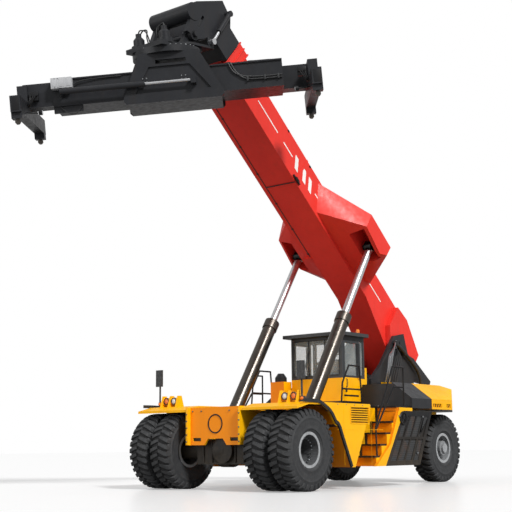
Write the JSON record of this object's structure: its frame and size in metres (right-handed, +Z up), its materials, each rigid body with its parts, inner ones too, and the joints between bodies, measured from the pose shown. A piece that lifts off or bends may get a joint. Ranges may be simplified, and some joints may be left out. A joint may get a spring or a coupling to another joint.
{
  "type": "reach stacker",
  "caption": "Container-handling truck with a raised telescopic boom, a tilting and slewing spreader with telescoping end beams and twistlocks, lift cylinders, a cab and rear ballast.",
  "frame": {"origin": "on the ground, in the middle of the bounding box", "axes": "+Z up, +Y towards the machine's rear, +X towards the machine's left"},
  "size_m": [6.3206, 11.8576, 10.2259],
  "materials": {
    "yellow": "glossy yellow paint",
    "red": "glossy red paint",
    "black": "satin black paint",
    "grey": "satin dark grey paint",
    "rim": "light grey paint",
    "rubber": "matt black rubber",
    "chrome": "hard chrome and bright steel",
    "seat": "black woven cloth",
    "iron": "cast and painted grey"
  },
  "bodies": {
    "machine": {"chassis": "yellow", "engine": "iron", "front_axle": "black", "rear_axle": "black", "boom_towers": "black", "counterweight": "yellow", "cab_base": "yellow", "cab_shell": "grey", "cab_roof": "grey", "seat": "seat", "steering_column": "black", "fender_left": "yellow", "fender_right": "yellow", "side_body_left": "yellow", "side_body_right": "yellow", "stair_treads_left": "black", "stair_treads_right": "black", "side_panel_left": "black", "side_panel_right": "black", "hood_left": "grey", "hood_right": "grey", "mirror_left": "black", "mirror_right": "black"},
    "front_wheel_left": {"rim_front_left": "rim", "tyre_front_left_outer": "rubber", "tyre_front_left_inner": "rubber"},
    "front_wheel_right": {"rim_front_right": "rim", "tyre_front_right_outer": "rubber", "tyre_front_right_inner": "rubber"},
    "steering_knuckle_left": {"knuckle_left": "black"},
    "steering_knuckle_right": {"knuckle_right": "black"},
    "rear_wheel_left": {"rim_rear_left": "rim", "tyre_rear_left": "rubber"},
    "rear_wheel_right": {"rim_rear_right": "rim", "tyre_rear_right": "rubber"},
    "cab_side_door_left": {"cab_door_left": "grey"},
    "cab_side_door_right": {"cab_door_right": "grey"},
    "hood_door_left": {"engine_door_left": "grey"},
    "hood_door_right": {"engine_door_right": "grey"},
    "boom": {"outer_boom": "red"},
    "telescope": {"inner_boom": "red", "boom_head": "black"},
    "lift_tube_left": {"lift_barrel_left": "grey"},
    "lift_tube_right": {"lift_barrel_right": "grey"},
    "lift_piston_left": {"lift_rod_left": "chrome"},
    "lift_piston_right": {"lift_rod_right": "chrome"},
    "yoke": {"tilt_yoke": "black"},
    "damper_tube_left": {"damper_barrel_left": "grey"},
    "damper_tube_right": {"damper_barrel_right": "grey"},
    "damper_piston_left": {"damper_rod_left": "chrome"},
    "damper_piston_right": {"damper_rod_right": "chrome"},
    "carriage": {"slewing_carriage": "black"},
    "spreader_beam": {"main_beam": "black"},
    "arm_left": {"spreader_arm_left": "black"},
    "arm_right": {"spreader_arm_right": "black"},
    "lock_left_near": {"twistlock_left_near": "chrome"},
    "lock_left_far": {"twistlock_left_far": "chrome"},
    "lock_right_near": {"twistlock_right_near": "chrome"},
    "lock_right_far": {"twistlock_right_far": "chrome"}
  },
  "joints": [
    {"name": "front_left_spin", "type": "hinge", "parent": "machine", "child": "front_wheel_left", "pos_m": [1.875, -1.2712, 0.8], "axis": [1, 0, 0], "continuous": true},
    {"name": "front_right_spin", "type": "hinge", "parent": "machine", "child": "front_wheel_right", "pos_m": [-1.875, -1.2712, 0.8], "axis": [1, 0, 0], "continuous": true},
    {"name": "steer_left", "type": "hinge", "parent": "machine", "child": "steering_knuckle_left", "pos_m": [1.03, 4.7788, 0.8], "axis": [0, 0, 1], "range_deg": [-45, 45]},
    {"name": "steer_right", "type": "hinge", "parent": "machine", "child": "steering_knuckle_right", "pos_m": [-1.03, 4.7788, 0.8], "axis": [0, 0, 1], "range_deg": [-45, 45]},
    {"name": "rear_left_spin", "type": "hinge", "parent": "steering_knuckle_left", "child": "rear_wheel_left", "pos_m": [1.41, 4.7788, 0.8], "axis": [1, 0, 0], "continuous": true},
    {"name": "rear_right_spin", "type": "hinge", "parent": "steering_knuckle_right", "child": "rear_wheel_right", "pos_m": [-1.41, 4.7788, 0.8], "axis": [1, 0, 0], "continuous": true},
    {"name": "cab_door_left_swing", "type": "hinge", "parent": "machine", "child": "cab_side_door_left", "pos_m": [0.7445, 2.5488, 1.98], "axis": [0, 0, 1], "range_deg": [0, 90]},
    {"name": "cab_door_right_swing", "type": "hinge", "parent": "machine", "child": "cab_side_door_right", "pos_m": [-0.7445, 2.5488, 1.98], "axis": [0, 0, -1], "range_deg": [0, 90]},
    {"name": "hood_door_left_lift", "type": "hinge", "parent": "machine", "child": "hood_door_left", "pos_m": [1.58, 3.0238, 2.29], "axis": [0, -1, 0], "range_deg": [0, 70]},
    {"name": "hood_door_right_lift", "type": "hinge", "parent": "machine", "child": "hood_door_right", "pos_m": [-1.58, 3.0238, 2.29], "axis": [0, 1, 0], "range_deg": [0, 70]},
    {"name": "boom_lift", "type": "hinge", "parent": "machine", "child": "boom", "pos_m": [0, 4.4788, 3.3], "axis": [-1, 0, 0], "range_deg": [-40, 20]},
    {"name": "boom_extend", "type": "slide", "parent": "boom", "child": "telescope", "axis": [0, -0.766, 0.6428], "range_m": [0, 6.5]},
    {"name": "lift_tube_left_tilt", "type": "hinge", "parent": "machine", "child": "lift_tube_left", "pos_m": [1.03, -0.1712, 1.15], "axis": [1, 0, 0], "range_deg": [-5, 5]},
    {"name": "lift_tube_right_tilt", "type": "hinge", "parent": "machine", "child": "lift_tube_right", "pos_m": [-1.03, -0.1712, 1.15], "axis": [1, 0, 0], "range_deg": [-5, 5]},
    {"name": "lift_piston_left_slide", "type": "slide", "parent": "lift_tube_left", "child": "lift_piston_left", "axis": [0, 0.5518, 0.834], "range_m": [-1.95, 0.98]},
    {"name": "lift_piston_right_slide", "type": "slide", "parent": "lift_tube_right", "child": "lift_piston_right", "axis": [0, 0.5518, 0.834], "range_m": [-1.95, 0.98]},
    {"name": "yoke_tilt", "type": "hinge", "parent": "telescope", "child": "yoke", "pos_m": [0, -2.90939, 9.21224], "axis": [-1, 0, 0], "range_deg": [-20, 40]},
    {"name": "damper_tube_left_tilt", "type": "hinge", "parent": "telescope", "child": "damper_tube_left", "pos_m": [0.63, -1.90824, 9.93866], "axis": [-1, 0, 0], "range_deg": [-6, 4]},
    {"name": "damper_tube_right_tilt", "type": "hinge", "parent": "telescope", "child": "damper_tube_right", "pos_m": [-0.63, -1.90824, 9.93866], "axis": [-1, 0, 0], "range_deg": [-6, 4]},
    {"name": "damper_piston_left_slide", "type": "slide", "parent": "damper_tube_left", "child": "damper_piston_left", "axis": [0, -0.5671, -0.8237], "range_m": [-0.16, 0.3]},
    {"name": "damper_piston_right_slide", "type": "slide", "parent": "damper_tube_right", "child": "damper_piston_right", "axis": [0, -0.5671, -0.8237], "range_m": [-0.16, 0.3]},
    {"name": "spreader_slew", "type": "hinge", "parent": "yoke", "child": "carriage", "pos_m": [0, -3.16566, 8.77229], "axis": [0, -0.1392, 0.9903], "range_deg": [-94, 11]},
    {"name": "side_shift", "type": "slide", "parent": "carriage", "child": "spreader_beam", "axis": [-0.7771, -0.6232, -0.0876], "range_m": [-0.8, 0.8]},
    {"name": "arm_left_extend", "type": "slide", "parent": "spreader_beam", "child": "arm_left", "axis": [0.7771, 0.6232, 0.0876], "range_m": [0, 3.066]},
    {"name": "arm_right_extend", "type": "slide", "parent": "spreader_beam", "child": "arm_right", "axis": [-0.7771, -0.6232, -0.0876], "range_m": [0, 3.066]},
    {"name": "twistlock_left_near_turn", "type": "hinge", "parent": "arm_left", "child": "lock_left_near", "pos_m": [2.98514, -2.03855, 7.67851], "axis": [0, -0.1392, 0.9903], "range_deg": [0, 90]},
    {"name": "twistlock_left_far_turn", "type": "hinge", "parent": "arm_left", "child": "lock_left_far", "pos_m": [1.5635, -0.30006, 7.92284], "axis": [0, -0.1392, 0.9903], "range_deg": [0, 90]},
    {"name": "twistlock_right_near_turn", "type": "hinge", "parent": "arm_right", "child": "lock_right_near", "pos_m": [-1.5635, -5.68611, 7.16588], "axis": [0, -0.1392, 0.9903], "range_deg": [0, 90]},
    {"name": "twistlock_right_far_turn", "type": "hinge", "parent": "arm_right", "child": "lock_right_far", "pos_m": [-2.98514, -3.94762, 7.41021], "axis": [0, -0.1392, 0.9903], "range_deg": [0, 90]}
  ],
  "couplings": [
    {"joint": "steer_right", "follows": "steer_left", "ratio": 1},
    {"joint": "lift_tube_left_tilt", "follows": "boom_lift", "ratio": -0.05},
    {"joint": "lift_tube_right_tilt", "follows": "boom_lift", "ratio": -0.05},
    {"joint": "lift_piston_left_slide", "follows": "boom_lift", "m_per_rad": 2.75},
    {"joint": "lift_piston_right_slide", "follows": "boom_lift", "m_per_rad": 2.75},
    {"joint": "yoke_tilt", "follows": "boom_lift", "ratio": -1},
    {"joint": "damper_tube_left_tilt", "follows": "boom_lift", "ratio": 0.12},
    {"joint": "damper_tube_right_tilt", "follows": "boom_lift", "ratio": 0.12},
    {"joint": "damper_piston_left_slide", "follows": "boom_lift", "m_per_rad": -0.418},
    {"joint": "damper_piston_right_slide", "follows": "boom_lift", "m_per_rad": -0.418},
    {"joint": "arm_right_extend", "follows": "arm_left_extend", "ratio": 1},
    {"joint": "twistlock_left_far_turn", "follows": "twistlock_left_near_turn", "ratio": 1},
    {"joint": "twistlock_right_near_turn", "follows": "twistlock_left_near_turn", "ratio": 1},
    {"joint": "twistlock_right_far_turn", "follows": "twistlock_left_near_turn", "ratio": 1}
  ]
}
